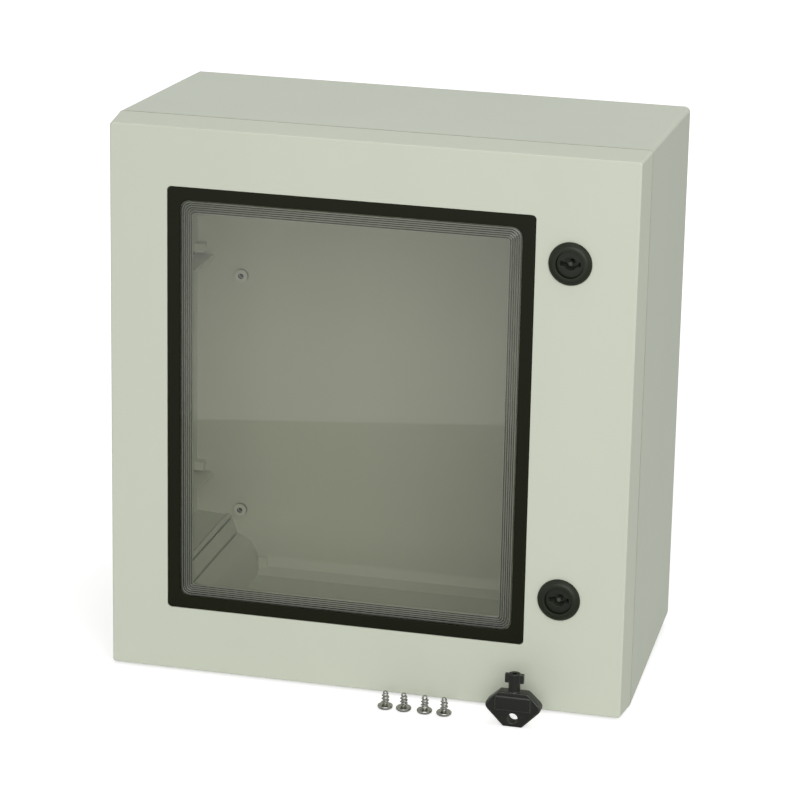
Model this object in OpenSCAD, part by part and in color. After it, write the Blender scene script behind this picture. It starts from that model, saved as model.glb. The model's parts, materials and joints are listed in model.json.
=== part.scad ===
// Hinged wall cabinet moulded in polycarbonate, with a glazed door and two quarter-turn locks.
// X runs to the right, Y to the back and Z up. The origin is in the level field under the base.

/* [Cabinet] */
// Width of the cabinet at the parting line
cab_w = 374; // [320:1:440]
// Height of the cabinet at the parting line
cab_h = 400; // [350:1:480]
// Depth of the base behind the parting line
base_d = 167; // [130:1:220]
// Depth of the door in front of the parting line
door_d = 29; // [28:0.5:34]
// Thickness of the moulded side walls
wall = 4; // [3.4:0.1:4.6]
// Thickness of the door's front skin
skin = 3.5; // [3:0.1:4.2]
// Set-in of the base sides at the back, from mould draft
side_draft = 3; // [0:0.1:4]
// Set-in of the base top and bottom at the back, from mould draft
end_draft = 6.2; // [2:0.1:7]
// Set-in of the door's edges at the front
door_draft = 2; // [1:0.1:2.6]
// Radius of the upright corners
corner_r = 2.2; // [1.6:0.1:5]
// Bevel round the front face and round the back face
edge_bevel = 0.6; // [0.3:0.1:1.6]
// Open line between the door and the base
part_gap = 1.2; // [0.6:0.1:1.6]

/* [Seal] */
// Thickness of the collar that stands forward from the base into the door
collar_t = 3; // [2.4:0.1:3.6]
// Clearance between the collar and the door's side wall
collar_clear = 1.2; // [1:0.1:1.6]
// Depth of the thick rim behind the parting line
rim_d = 12; // [10:0.5:16]
// Thickness of the foam gasket in the door
gasket_t = 5; // [4:0.5:6]
// Height of the rib that holds the gasket
rib_h = 5; // [4:0.5:6]

/* [Window] */
// Margin from the left edge to the black frame
win_left = 43.5; // [38:0.5:60]
// Margin from the right edge to the black frame
win_right = 72.5; // [72:0.5:100]
// Margin from the bottom edge to the black frame
win_bottom = 49; // [44:0.5:80]
// Margin from the top edge to the black frame
win_top = 44; // [42:0.5:80]
// Visible width of the black frame
frame_face = 8.8; // [8:0.1:11]
// Amount by which the frame stands proud of the door
frame_proud = 0.3; // [0.1:0.1:1]
// Thickness of the clear pane in its field
pane_t = 4; // [3.4:0.1:4.4]
// Number of fine ornamental grooves round the pane
groove_count = 6; // [3:1:7]
// Spacing of the grooves
groove_pitch = 1.5; // [1.2:0.05:1.6]

/* [Locks] */
// Distance from the right edge to the lock axis
lock_edge = 48; // [44:0.5:48.5]
// Distance between the two locks
lock_pitch = 240; // [190:1:260]
// Height of the locks' middle above the cabinet's middle
lock_shift = 5; // [-8:0.5:8]
// Outer diameter of the lock's front bezel
bezel_d = 30; // [28.5:0.5:31]
// Height of the bezel above the door's face
bezel_h = 4; // [3.5:0.1:5]
// Diameter of the lock's threaded body
lock_body_d = 22; // [21.6:0.1:22.4]
// Diameter of the turning core
core_d = 17; // [16.6:0.1:17.2]
// Running clearance of the core in its bore, on the radius
core_clear = 0.05; // [0.02:0.01:0.09]
// Width of the steel cam
cam_w = 18; // [14:1:22]
// Thickness of the steel cam and of the keeper
plate_t = 2.5; // [2:0.1:2.8]

/* [Hinges] */
// Distance between the two hinges
hinge_pitch = 250; // [200:1:270]
// Diameter of the hinge pin
pin_d = 3; // [2.5:0.1:3.4]
// Outer radius of the moulded knuckles
knuckle_r = 3.6; // [3.3:0.1:3.7]
// Length of the door's knuckle
door_knuckle = 26; // [18:1:34]
// Length of each of the base's two knuckles
base_knuckle = 14; // [10:1:18]

/* [Interior] */
// Width of the corner column from the outer side face to its foot
column_w = 51.4; // [48:0.2:53]
// Height of the corner column from the outer top or bottom face
column_h = 54; // [51:0.5:56]
// Height of the upper side ledge above the cabinet's middle
ledge_up = 57; // [40:1:80]
// Depth of the lower side ledge below the cabinet's middle
ledge_down = 114; // [100:1:120]
// Reach of the side ledges from the outer side face
ledge_reach = 19.5; // [16:0.5:26]
// Diameter of the wall-fixing holes in the back
fix_d = 7; // [5:0.5:8]
// Distance from the side face to the boss and hole centres of the mounting plate
boss_edge = 45; // [45:1:60]
// Distance from the top or bottom face to the plate bosses
boss_rise = 62; // [61:1:80]
// Height of the bosses above the back wall
boss_h = 14; // [10:1:20]
// Outer diameter of the bosses
boss_d = 10; // [8.5:0.5:12]
// Diameter of the pilot holes in the bosses
pilot_d = 4.2; // [3.4:0.1:4.6]

/* [Loose kit] */
// Overall height of the key, standing on its grip
key_h = 38.4; // [34:0.1:44]
// Height of the key's grip
grip_h = 25.4; // [23:0.1:28]
// Thickness of the key's grip
grip_t = 8.6; // [7:0.1:10]
// Diameter of the key's stem
stem_d = 8.2; // [7.6:0.1:8.6]
// Length of a fixing screw
screw_l = 13; // [11:0.5:20]
// Diameter of a fixing screw's head
screw_head_d = 10.8; // [9:0.1:12]
// Thread diameter of a fixing screw
screw_d = 4.8; // [4:0.1:5.2]

/* [Hidden] */
$fn = 48;

// A sliver used to give hulled sections a thickness, and an overrun for cuts
eps = 0.02;
over = 1;

// Planes from front to back, and the height of the middle
y_front = -(base_d + door_d) / 2;
y_part = y_front + door_d;
y_back = y_part + base_d;
y_floor = y_back - wall;
mid_z = cab_h / 2;

// The seal: the collar's place inside the outline, and how far it reaches into the door
gasket_gap = 0.3;
core_draft = 1;
collar_in = wall + collar_clear;
collar_len = door_d - skin - gasket_t - gasket_gap;
gasket_out = wall + core_draft;
gasket_in = collar_in + collar_t + 1.4;
rib_t = 2.4;
mouth_in = collar_in + collar_t;
back_r = corner_r + 1.8;

// The window: frame outline, opening in the door, and the stack of layers behind the face
frame_w = cab_w - win_left - win_right;
frame_h = cab_h - win_bottom - win_top;
win_x = (win_left - win_right) / 2;
win_z = mid_z + (win_bottom - win_top) / 2;
frame_r = 3;
flange_t = 2;
flange_lap = 3;
land_t = skin + 3;
land_w = 10.5;
sleeve_t = 1.6;
fit_gap = 0.3;
y_flange = y_front + flange_t;
y_land = y_front + land_t;
seal_t = 0.8;
y_pane = y_flange + seal_t;
pane_step = 1.6;
y_field = y_pane - pane_step;
y_pane_back = y_field + pane_t;
pane_in = flange_lap + fit_gap + sleeve_t + fit_gap;
field_in = frame_face + 0.4;
sight_r = 7.5;
field_r = 7;
retainer_t = 3;
retainer_out = 9;
retainer_in = frame_face;
retainer_screw_d = 2.9;
retainer_pilot = 4.5;
retainer_head_t = 1.8;
groove_w = 0.5;
groove_depth = 0.4;

// The ribs inside the door's margins, as heights from the middle
door_rib_t = 2.2;
right_ribs = [-75, -10, 55];
left_ribs = [-130, -65, 0, 65, 130];

// The locks: rows of heights, and the planes along the lock axis
lock_x = cab_w / 2 - lock_edge;
lock_z = [mid_z + lock_shift + lock_pitch / 2, mid_z + lock_shift - lock_pitch / 2];
body_clear = 0.25;
flat_w = lock_body_d - 2;
pad_t = 5;
pad_out = 5;
bezel_rim = 0.6;
bezel_shoulder = 2.4;
bezel_flat = 3.6;
seal_in = 1.5;
core_head_r = core_d / 2 + 0.8;
core_step = 0.7;
cam_gap = 0.3;
lip_gap = 0.5;
y_cam = y_front + 20.5;
y_lip = y_cam - lip_gap;
cam_gap_end = 0.8;
cam_len = lock_edge - mouth_in - plate_t - cam_gap_end;
square_w = 8;
nut_t = 5;
nut_af = lock_body_d + 4;
key_slot = 3.5;
socket_d = stem_d + 0.8;
key_span = 13.3;
slot_span = key_span + 1.1;
socket_deep = 12.5;
post_d = 3;
keeper_half = 16;
lip_half = 12;
lip_reach = 12;
keeper_screw_z = 9;
keeper_screw_y = y_part + rim_d / 2;
keeper_screw_d = 3;
keeper_grip = 6;
screw_slack = 0.1;
keeper_head_t = 2;
washer_t = 1;
cam_head_r = 3.8;
cam_head_t = 2.8;
cam_screw_d = 3.9;
cam_screw_l = 6;

// The hinges: a line just outside the left side, on the parting plane
axis_out = 2;
axis_x = -cab_w / 2 - axis_out;
hinge_z = [mid_z + hinge_pitch / 2, mid_z - hinge_pitch / 2];
notch_r = knuckle_r + 0.4;
end_gap = 0.4;
web_out = 1.5;
web_len = 8;
pin_clear = 0.06;
pin_snug = 0.02;
pin_head_t = 1.2;
hinge_span = door_knuckle + 2 * (end_gap + base_knuckle);

// The inside of the base
column_front = y_part + rim_d + 2;
column_bead = 22;
fix_in = 23;
fix_up = 28;
fix_x = cab_w / 2 - fix_in;
fix_z = cab_h / 2 - fix_up;
fix_depth = 30;
boss_x = cab_w / 2 - boss_edge;
plate_z = cab_h / 2 - boss_rise;
rail_z = 45;
ledge_t = 2.5;
ledge_front = -40;
peg_w = 7;
peg_h = 6.5;
peg_deep = 9;
peg_rise = 2.5;
dowel_x = 129.3;
dowel_d = 4.8;
dowel_top = 22.8;
cove = 11.5;
field_margin = 62;

// Places of the loose kit on the floor in front of the door
key_right = 71.7;
key_out = 27.5;
screws_out = 23.8;

// Rounded rectangle about its centre, with true arcs
module rounded(w, h, r) {
    square([w - 2 * r, h], center = true);
    square([w, h - 2 * r], center = true);
    for (sx = [-1, 1], sy = [-1, 1]) translate([sx * (w / 2 - r), sy * (h / 2 - r)]) circle(r);
}

// Upright slab with a rounded outline, from y0 back to y1
module slab(w, h, r, y0, y1, cx = 0, cz = mid_z) {
    translate([cx, y1, cz]) rotate([90, 0, 0]) linear_extrude(y1 - y0) rounded(w, h, r);
}

// Upright ring: an outline with the same outline set in by t taken out
module ring(w, h, r, t, y0, y1, cx = 0, cz = mid_z) {
    translate([cx, y1, cz]) rotate([90, 0, 0]) linear_extrude(y1 - y0) difference() {
        rounded(w, h, r);
        rounded(w - 2 * t, h - 2 * t, max(r - t, 0.4));
    }
}

// Round bar along Y
module bar(x, z, r, y0, y1) {
    translate([x, y1, z]) rotate([90, 0, 0]) cylinder(r = r, h = y1 - y0);
}

// Outline in the X-Z plane, extruded from y0 back to y1, measured from the cabinet's middle height
module profile(y0, y1) {
    translate([0, y1, mid_z]) rotate([90, 0, 0]) linear_extrude(y1 - y0) children();
}

// The four corners of the cabinet, from one drawn at the upper right
module at_corners() {
    for (sx = [0, 1], sz = [0, 1])
        translate([0, 0, mid_z]) mirror([sx, 0, 0]) mirror([0, 0, sz]) translate([0, 0, -mid_z]) children();
}

// The base's outside: drafted on all sides, with a bevelled back edge
module base_form() {
    w = cab_w - 2 * side_draft;
    h = cab_h - 2 * end_draft;
    hull() {
        slab(cab_w, cab_h, corner_r, y_part, y_part + eps);
        slab(w, h, back_r, y_back - edge_bevel - eps, y_back - edge_bevel);
        slab(w - 2 * edge_bevel, h - 2 * edge_bevel, back_r, y_back - eps, y_back);
    }
}

// The base's inside, behind the rim
module base_cavity() {
    hull() {
        slab(cab_w - 2 * wall, cab_h - 2 * wall, corner_r, y_part + rim_d, y_part + rim_d + eps);
        slab(cab_w - 2 * (side_draft + wall), cab_h - 2 * (end_draft + wall), corner_r,
            y_floor - eps, y_floor);
    }
}

// Section of a corner column at the upper right, as distances in from the side face and the end face:
// a beaded shoulder, a crease, a long chamfer and a foot that stands on the end wall
module column_outline() {
    bead_x = column_w - column_bead;
    translate([cab_w / 2, cab_h / 2]) rotate(180) polygon([
        [0, 0],
        [column_w, 0],
        [column_w, column_h - 31],
        [column_w - 1.6, column_h - 21],
        [column_w - 9, column_h - 15.6],
        [bead_x + 5.3, column_h - 3.7],
        [bead_x + 4.2, column_h - 3.4],
        [bead_x + 4.6, column_h - 2.2],
        [bead_x + 2.2, column_h - 0.5],
        [bead_x, column_h],
        [0, column_h]
    ]);
}

// Ledge along a side wall, with a square peg over its rear end
module ledge(top) {
    root = cab_w / 2 - side_draft - wall;
    tip = cab_w / 2 - ledge_reach;
    profile(ledge_front, y_floor + over) translate([tip, top - ledge_t]) square([ledge_reach, ledge_t]);
    profile(y_floor - peg_deep, y_floor + over) translate([root - peg_w, top + peg_rise])
        square([peg_w + wall / 2, peg_h]);
}

// Sloped cove along the foot of the back wall, with a round dowel at each end
module back_cove() {
    foot = end_draft + wall;
    half = cab_w / 2 - column_w + over;
    translate([-half, 0, 0]) rotate([90, 0, 90]) linear_extrude(2 * half) polygon([
        [y_back - wall / 2, foot - 2],
        [y_back - wall / 2, foot + cove],
        [y_floor, foot + cove],
        [y_floor - 0.28 * cove, foot + 0.4 * cove],
        [y_floor - cove, foot - 1.2],
        [y_floor - cove, foot - 2]
    ]);
    for (sx = [-1, 1]) translate([sx * dowel_x, y_floor - 0.28 * cove, foot - 2]) {
        cylinder(d = dowel_d, h = dowel_top - dowel_d / 2 - foot + 2);
        translate([0, 0, dowel_top - dowel_d / 2 - foot + 2]) sphere(d = dowel_d);
    }
}

// Level field under the drafted bottom wall, on which the cabinet stands and glands are fitted
module level_field() {
    y0 = y_part + rim_d;
    y1 = y_back - rim_d;
    slope = end_draft / base_d;
    half = cab_w / 2 - field_margin;
    translate([-half, 0, 0]) rotate([90, 0, 90]) linear_extrude(2 * half)
        polygon([[y0, 0], [y1, 0], [y1, slope * (y1 - y_part) + 2], [y0, slope * (y0 - y_part) + 2]]);
}

// A knuckle of length l about the hinge line at height z, with a web towards the wall on one side
module knuckle(z, l, side) {
    translate([axis_x, y_part, z - l / 2]) cylinder(r = knuckle_r, h = l);
    translate([axis_x - web_out, side > 0 ? y_part : y_part - web_len, z - l / 2])
        cube([web_out + axis_out + wall / 2, web_len, l]);
}

// Heights of the base's knuckles at one hinge
function base_knuckle_z(z) = [for (s = [-1, 1]) z + s * (door_knuckle / 2 + end_gap + base_knuckle / 2)];

// Upright round cut about the hinge line
module hinge_cut(z, r, l) {
    translate([axis_x, y_part, z - l / 2]) cylinder(r = r, h = l);
}

// Room over a hinge for the head of its pin
module head_room() {
    for (z = hinge_z) hinge_cut(z + hinge_span / 2 + pin_head_t / 2 + eps, notch_r - 1, pin_head_t + 0.5);
}

module base() {
    color([0.79, 0.80, 0.75]) difference() {
        union() {
            difference() {
                union() {
                    base_form();
                    slab(cab_w - 2 * collar_in, cab_h - 2 * collar_in, corner_r,
                        y_part - collar_len, y_part + over);
                }
                base_cavity();
                slab(cab_w - 2 * mouth_in, cab_h - 2 * mouth_in, corner_r / 2,
                    y_part - collar_len - over, y_part + rim_d + eps);
            }
            intersection() {
                union() {
                    at_corners() profile(column_front, y_back) column_outline();
                    for (sx = [0, 1], top = [ledge_up, -ledge_down]) mirror([sx, 0, 0]) ledge(top);
                    back_cove();
                }
                base_form();
            }
            for (sx = [-1, 1], z = [-plate_z, rail_z, plate_z])
                bar(sx * boss_x, mid_z + z, boss_d / 2, y_floor - boss_h, y_floor + over);
            level_field();
            for (hz = hinge_z, z = base_knuckle_z(hz)) knuckle(z, base_knuckle, 1);
        }
        at_corners() bar(fix_x, mid_z + fix_z, fix_d / 2, y_back - fix_depth, y_back + over);
        for (sx = [-1, 1], z = [-plate_z, rail_z, plate_z])
            bar(sx * boss_x, mid_z + z, pilot_d / 2, y_floor - boss_h - over, y_floor - 2);
        for (hz = hinge_z) {
            hinge_cut(hz, notch_r, door_knuckle + 2 * end_gap);
            hinge_cut(hz, pin_d / 2 + pin_snug, hinge_span + 2 * over);
        }
        head_room();
        for (z = lock_z, s = [-1, 1])
            translate([cab_w / 2 - mouth_in - over, keeper_screw_y, z + s * keeper_screw_z]) rotate([0, 90, 0])
                cylinder(d = keeper_screw_d, h = over + keeper_grip);
    }
}

// Steel hinge pin with a low head on top
module hinge_pin(z) {
    color([0.75, 0.76, 0.78]) translate([axis_x, y_part, z]) {
        translate([0, 0, -hinge_span / 2]) cylinder(d = pin_d, h = hinge_span);
        translate([0, 0, hinge_span / 2]) cylinder(d = pin_d + 1.8, h = pin_head_t);
    }
}
module upper_hinge_pin() { hinge_pin(hinge_z[0]); }
module lower_hinge_pin() { hinge_pin(hinge_z[1]); }

// Bent steel keeper: a foot on the rim and a lip that the cam closes behind
module keeper(z) {
    face = cab_w / 2 - mouth_in;
    color([0.75, 0.76, 0.78]) difference() {
        union() {
            translate([face - plate_t, y_lip - plate_t, z - keeper_half])
                cube([plate_t, y_part + rim_d - y_lip + plate_t, 2 * keeper_half]);
            translate([face - lip_reach, y_lip - plate_t, z - lip_half])
                cube([lip_reach, plate_t, 2 * lip_half]);
        }
        for (s = [-1, 1]) translate([face - plate_t - over, keeper_screw_y, z + s * keeper_screw_z])
            rotate([0, 90, 0]) cylinder(d = keeper_screw_d + 0.4, h = plate_t + 2 * over);
    }
}
module upper_keeper() { keeper(lock_z[0]); }
module lower_keeper() { keeper(lock_z[1]); }

module keeper_screws() {
    face = cab_w / 2 - mouth_in;
    color([0.68, 0.69, 0.70]) for (z = lock_z, s = [-1, 1])
        translate([face, keeper_screw_y, z + s * keeper_screw_z]) rotate([0, 90, 0]) {
            translate([0, 0, -plate_t])
                cylinder(d = keeper_screw_d - screw_slack, h = plate_t + 0.9 * keeper_grip);
            translate([0, 0, -plate_t - keeper_head_t]) cylinder(d = 2 * keeper_screw_d, h = keeper_head_t);
        }
}

// The door's outside: drafted edges and a bevel round the face
module door_form() {
    w = cab_w - 2 * door_draft;
    h = cab_h - 2 * door_draft;
    hull() {
        slab(cab_w, cab_h, corner_r, y_part - part_gap - eps, y_part - part_gap);
        slab(w, h, corner_r, y_front + edge_bevel, y_front + edge_bevel + eps);
        slab(w - 2 * edge_bevel, h - 2 * edge_bevel, corner_r, y_front, y_front + eps);
    }
}

// The door's hollow behind its skin
module door_hollow() {
    hull() {
        slab(cab_w - 2 * wall, cab_h - 2 * wall, corner_r / 2, y_part, y_part + eps);
        slab(cab_w - 2 * gasket_out, cab_h - 2 * gasket_out, corner_r / 2,
            y_front + skin, y_front + skin + eps);
    }
}

// Low stiffening ribs across the door's margins, from the window's land to the gasket rib
module door_ribs() {
    y0 = y_front + skin - over;
    right0 = win_x + frame_w / 2 + land_w - over;
    right1 = cab_w / 2 - gasket_in - rib_t + over;
    left0 = -right1;
    left1 = win_x - frame_w / 2 - land_w + over;
    for (z = right_ribs) translate([right0, y0, mid_z + z - door_rib_t / 2])
        cube([right1 - right0, rib_h + over, door_rib_t]);
    for (z = left_ribs) translate([left0, y0, mid_z + z - door_rib_t / 2])
        cube([left1 - left0, rib_h + over, door_rib_t]);
}

// Round lock hole with two flats that keep the lock's body from turning
module lock_hole(z) {
    intersection() {
        bar(lock_x, z, lock_body_d / 2 + body_clear, y_front - over, y_front + 2 * pad_t);
        translate([lock_x - flat_w / 2 - body_clear, y_front - 2 * over, z - lock_body_d])
            cube([flat_w + 2 * body_clear, 3 * pad_t, 2 * lock_body_d]);
    }
}

// Places of the retainer's screws, as offsets from the window's middle
function retainer_points() = let (
        x = frame_w / 2 + retainer_out / 2 + 0.5,
        z = frame_h / 2 + retainer_out / 2 + 0.5)
    concat(
        [for (s = [-1, 1], k = [-3, -1, 1, 3]) [s * x, k * frame_h / 6.4]],
        [for (s = [-1, 1], k = [-1, 1]) [k * frame_w / 4.4, s * z]]);

module door() {
    color([0.82, 0.83, 0.77]) difference() {
        union() {
            difference() {
                door_form();
                door_hollow();
            }
            slab(frame_w + 2 * land_w, frame_h + 2 * land_w, frame_r, y_front + over, y_land, win_x, win_z);
            ring(cab_w - 2 * gasket_in, cab_h - 2 * gasket_in, corner_r, rib_t,
                y_front + skin - over, y_front + skin + rib_h);
            for (z = lock_z) bar(lock_x, z, bezel_d / 2 + pad_out, y_front + over, y_front + pad_t);
            door_ribs();
            for (z = hinge_z) knuckle(z, door_knuckle, -1);
        }
        slab(frame_w + 2 * fit_gap, frame_h + 2 * fit_gap, frame_r, y_front - over, y_flange, win_x, win_z);
        slab(frame_w - 2 * flange_lap, frame_h - 2 * flange_lap, frame_r,
            y_front - over, y_land + over, win_x, win_z);
        for (z = lock_z) lock_hole(z);
        for (p = retainer_points())
            bar(win_x + p[0], win_z + p[1], retainer_screw_d / 2, y_land - retainer_pilot, y_land + over);
        for (hz = hinge_z) {
            for (z = base_knuckle_z(hz)) hinge_cut(z, notch_r, base_knuckle + 2 * end_gap);
            hinge_cut(hz, pin_d / 2 + pin_clear, door_knuckle + 2 * over);
        }
        head_room();
    }
}

// Foamed gasket strip that the collar presses
module door_gasket() {
    color([0.25, 0.25, 0.26]) ring(cab_w - 2 * gasket_out, cab_h - 2 * gasket_out, corner_r / 2,
        gasket_in - gasket_out - 0.1, y_front + skin, y_front + skin + gasket_t);
}

// Black window frame: a flange in the door's rebate and a sleeve through the opening
module window_frame() {
    color([0.12, 0.12, 0.11]) {
        translate([win_x, y_flange, win_z]) rotate([90, 0, 0])
            linear_extrude(flange_t + frame_proud) difference() {
            rounded(frame_w, frame_h, frame_r);
            rounded(frame_w - 2 * frame_face, frame_h - 2 * frame_face, sight_r);
        }
        ring(frame_w - 2 * (flange_lap + fit_gap), frame_h - 2 * (flange_lap + fit_gap), frame_r,
            sleeve_t, y_flange - eps, y_land, win_x, win_z);
    }
}

// Thin rubber seal between the frame's flange and the pane's edge
module window_gasket() {
    color([0.18, 0.18, 0.18]) ring(frame_w - 2 * pane_in, frame_h - 2 * pane_in, frame_r,
        field_in - pane_in, y_flange, y_pane, win_x, win_z);
}

// Clear pane: a rebated edge behind the frame, and fine grooves round the field
module window_pane() {
    field_w = frame_w - 2 * field_in;
    field_h = frame_h - 2 * field_in;
    color([0.80, 0.84, 0.84, 0.4]) difference() {
        union() {
            slab(frame_w - 2 * pane_in, frame_h - 2 * pane_in, frame_r, y_pane, y_pane_back, win_x, win_z);
            slab(field_w, field_h, field_r, y_field, y_pane + eps, win_x, win_z);
        }
        for (k = [1:groove_count]) {
            d = (k - 0.5) * groove_pitch;
            ring(field_w - 2 * d, field_h - 2 * d, max(field_r - 0.6 * d, 1.5), groove_w,
                y_field - over, y_field + groove_depth, win_x, win_z);
        }
    }
}

// Rear retainer: a flat ring on the door's land with a lip that presses the pane
module window_retainer() {
    out_w = frame_w + 2 * retainer_out;
    out_h = frame_h + 2 * retainer_out;
    color([0.15, 0.15, 0.15]) difference() {
        ring(out_w, out_h, frame_r + 2, retainer_out + retainer_in,
            y_pane_back, y_land + retainer_t, win_x, win_z);
        ring(out_w + 2 * over, out_h + 2 * over, frame_r + 2, retainer_out + over + pane_in,
            y_pane_back - over, y_land, win_x, win_z);
        for (p = retainer_points())
            bar(win_x + p[0], win_z + p[1], retainer_screw_d / 2 + 2 * screw_slack, y_land - over,
                y_land + retainer_t + over);
    }
}

module retainer_screws() {
    color([0.68, 0.69, 0.70]) for (p = retainer_points()) {
        bar(win_x + p[0], win_z + p[1], (retainer_screw_d - screw_slack) / 2, y_land - 0.9 * retainer_pilot,
            y_land + retainer_t + eps);
        bar(win_x + p[0], win_z + p[1], retainer_screw_d, y_land + retainer_t,
            y_land + retainer_t + retainer_head_t);
    }
}

// Lock body: turned bezel, threaded barrel with two flats, and a stepped bore for the core
module lock_body(z) {
    r = bezel_d / 2;
    color([0.22, 0.23, 0.21]) difference() {
        union() {
            translate([lock_x, y_front, z]) rotate([90, 0, 0]) rotate_extrude() polygon([
                [0, 0], [r, 0], [r, 0.25 * bezel_h], [r - bezel_rim, 0.55 * bezel_h],
                [r - bezel_shoulder, 0.9 * bezel_h], [r - bezel_flat, bezel_h], [0, bezel_h]]);
            intersection() {
                bar(lock_x, z, lock_body_d / 2, y_front - eps, y_cam - cam_gap);
                translate([lock_x - flat_w / 2, y_front - over, z - lock_body_d])
                    cube([flat_w, 2 * lock_body_d, 2 * lock_body_d]);
            }
        }
        bar(lock_x, z, core_head_r + 0.2, y_front - bezel_h - over, y_front - core_step);
        bar(lock_x, z, core_d / 2 + core_clear, y_front - bezel_h, y_cam + over);
        difference() {
            bar(lock_x, z, r - seal_in + screw_slack, y_front - seal_t, y_front + eps);
            bar(lock_x, z, lock_body_d / 2, y_front - 2 * seal_t, y_front + over);
        }
    }
}
module upper_lock_body() { lock_body(lock_z[0]); }
module lower_lock_body() { lock_body(lock_z[1]); }

// Flat seal in the bezel's recess
module lock_seal(z) {
    color([0.15, 0.15, 0.15]) difference() {
        bar(lock_x, z, bezel_d / 2 - seal_in, y_front - seal_t, y_front);
        bar(lock_x, z, lock_body_d / 2 + screw_slack, y_front - seal_t - over, y_front + over);
    }
}
module upper_lock_seal() { lock_seal(lock_z[0]); }
module lower_lock_seal() { lock_seal(lock_z[1]); }

// Six-sided nut that clamps the lock from inside the door
module lock_nut(z) {
    color([0.70, 0.71, 0.72]) translate([lock_x, y_front + pad_t + nut_t, z]) rotate([90, 0, 0]) difference() {
        rotate(30) cylinder(d = nut_af / cos(30), h = nut_t, $fn = 6);
        translate([0, 0, -over]) cylinder(d = lock_body_d + screw_slack, h = nut_t + 2 * over);
    }
}
module upper_lock_nut() { lock_nut(lock_z[0]); }
module lower_lock_nut() { lock_nut(lock_z[1]); }

// Turning core with a double-bit socket, a centre post and a square tail for the cam
module lock_core(z) {
    y_face = y_front - bezel_h + 0.9;
    y_socket = y_face + socket_deep;
    y_tail = y_cam + plate_t - 0.3;
    color([0.25, 0.26, 0.24]) difference() {
        union() {
            bar(lock_x, z, core_head_r, y_face, y_front - core_step - 0.05);
            bar(lock_x, z, core_d / 2, y_front - core_step - 0.05 - eps, y_cam);
            translate([lock_x - square_w / 2, y_cam - eps, z - square_w / 2])
                cube([square_w, y_tail - y_cam + eps, square_w]);
        }
        difference() {
            union() {
                bar(lock_x, z, socket_d / 2, y_face - over, y_socket);
                translate([lock_x - slot_span / 2, y_face - over, z - key_slot / 2])
                    cube([slot_span, socket_deep + over, key_slot]);
            }
            bar(lock_x, z, post_d / 2, y_face + 1, y_socket + over);
        }
        bar(lock_x, z, (cam_screw_d + screw_slack) / 2, y_tail - cam_screw_l - over, y_tail + over);
    }
}
module upper_lock_core() { lock_core(lock_z[0]); }
module lower_lock_core() { lock_core(lock_z[1]); }

// Flat steel cam on the core's square, hanging down when the lock is open
module lock_cam(z) {
    half = cam_w / 2;
    tip_r = 4;
    color([0.75, 0.76, 0.78]) translate([lock_x, y_cam + plate_t, z]) rotate([90, 0, 0]) linear_extrude(plate_t)
        difference() {
            union() {
                circle(half);
                translate([-half, -cam_len + tip_r]) square([cam_w, cam_len - tip_r]);
                translate([-half + tip_r, -cam_len]) square([cam_w - 2 * tip_r, tip_r]);
                for (s = [-1, 1]) translate([s * (half - tip_r), -cam_len + tip_r]) circle(tip_r);
            }
            square(square_w + screw_slack, center = true);
        }
}
module upper_lock_cam() { lock_cam(lock_z[0]); }
module lower_lock_cam() { lock_cam(lock_z[1]); }

// Screw and washer that hold the cam on the core
module cam_screw(z) {
    y0 = y_cam + plate_t;
    color([0.68, 0.69, 0.70]) {
        bar(lock_x, z, cam_screw_d / 2, y0 - cam_screw_l, y0 + washer_t + eps);
        bar(lock_x, z, 0.9 * square_w, y0, y0 + washer_t);
        bar(lock_x, z, cam_head_r, y0 + washer_t, y0 + washer_t + cam_head_t);
    }
}
module upper_cam_screw() { cam_screw(lock_z[0]); }
module lower_cam_screw() { cam_screw(lock_z[1]); }

// Outline of the key's grip, set in by b for the bevelled faces
module grip_outline(b) {
    half = 19.5;
    tip_r = 4.2;
    hull() {
        for (s = [-1, 1]) {
            translate([s * (half - tip_r), 0.58 * grip_h]) circle(tip_r - b, $fn = 32);
            translate([s * 9.6, grip_h - 1]) circle(1 - 0.5 * b, $fn = 16);
            translate([s * 6.2, 1]) circle(1 - 0.5 * b, $fn = 16);
        }
    }
}

// Black double-bit key, standing on its grip in front of the door
module key() {
    bevel = 0.8;
    pad_w = 24.8;
    bit_h = 7;
    color([0.22, 0.23, 0.21]) translate([cab_w / 2 - key_right, y_front - key_out, 0]) difference() {
        union() {
            hull() {
                translate([0, grip_t / 2 - bevel, 0]) rotate([90, 0, 0])
                    linear_extrude(grip_t - 2 * bevel) grip_outline(0);
                translate([0, grip_t / 2, 0]) rotate([90, 0, 0]) linear_extrude(grip_t) grip_outline(bevel);
            }
            translate([-pad_w / 2, -grip_t / 2 - 0.7, 0.48 * grip_h])
                cube([pad_w, grip_t + 1.4, 0.38 * grip_h]);
            translate([0, 0, grip_h - 2]) cylinder(d = stem_d, h = key_h - grip_h + 2);
            translate([-key_span / 2, -key_slot / 2 + 0.25, key_h - bit_h])
                cube([key_span, key_slot - 0.5, bit_h - 0.4]);
        }
        translate([0, grip_t, 0.25 * grip_h]) rotate([90, 0, 0]) cylinder(d = 5.7, h = 2 * grip_t);
        translate([0, 0, key_h - 12]) cylinder(d = post_d + 0.8, h = 12 + over);
    }
}

// Places of the loose screws along the front
screw_row = [22.9, 36.2, 51.2, 65.1];

// Four pan-head fixing screws for the mounting plate, standing on their heads
module plate_screws() {
    r = screw_head_d / 2;
    shank_r = screw_d / 2 - 0.5;
    color([0.68, 0.69, 0.70]) for (k = [0:3])
        translate([screw_row[k], y_front - screws_out, 0]) rotate_extrude() polygon([
            [0, 0], [0.6 * r, 0], [0.86 * r, 0.6], [r, 1.7], [r, 2.5], [shank_r, 2.5],
            [shank_r, screw_l - 1], [shank_r - 0.6, screw_l], [0, screw_l]]);
}

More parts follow.
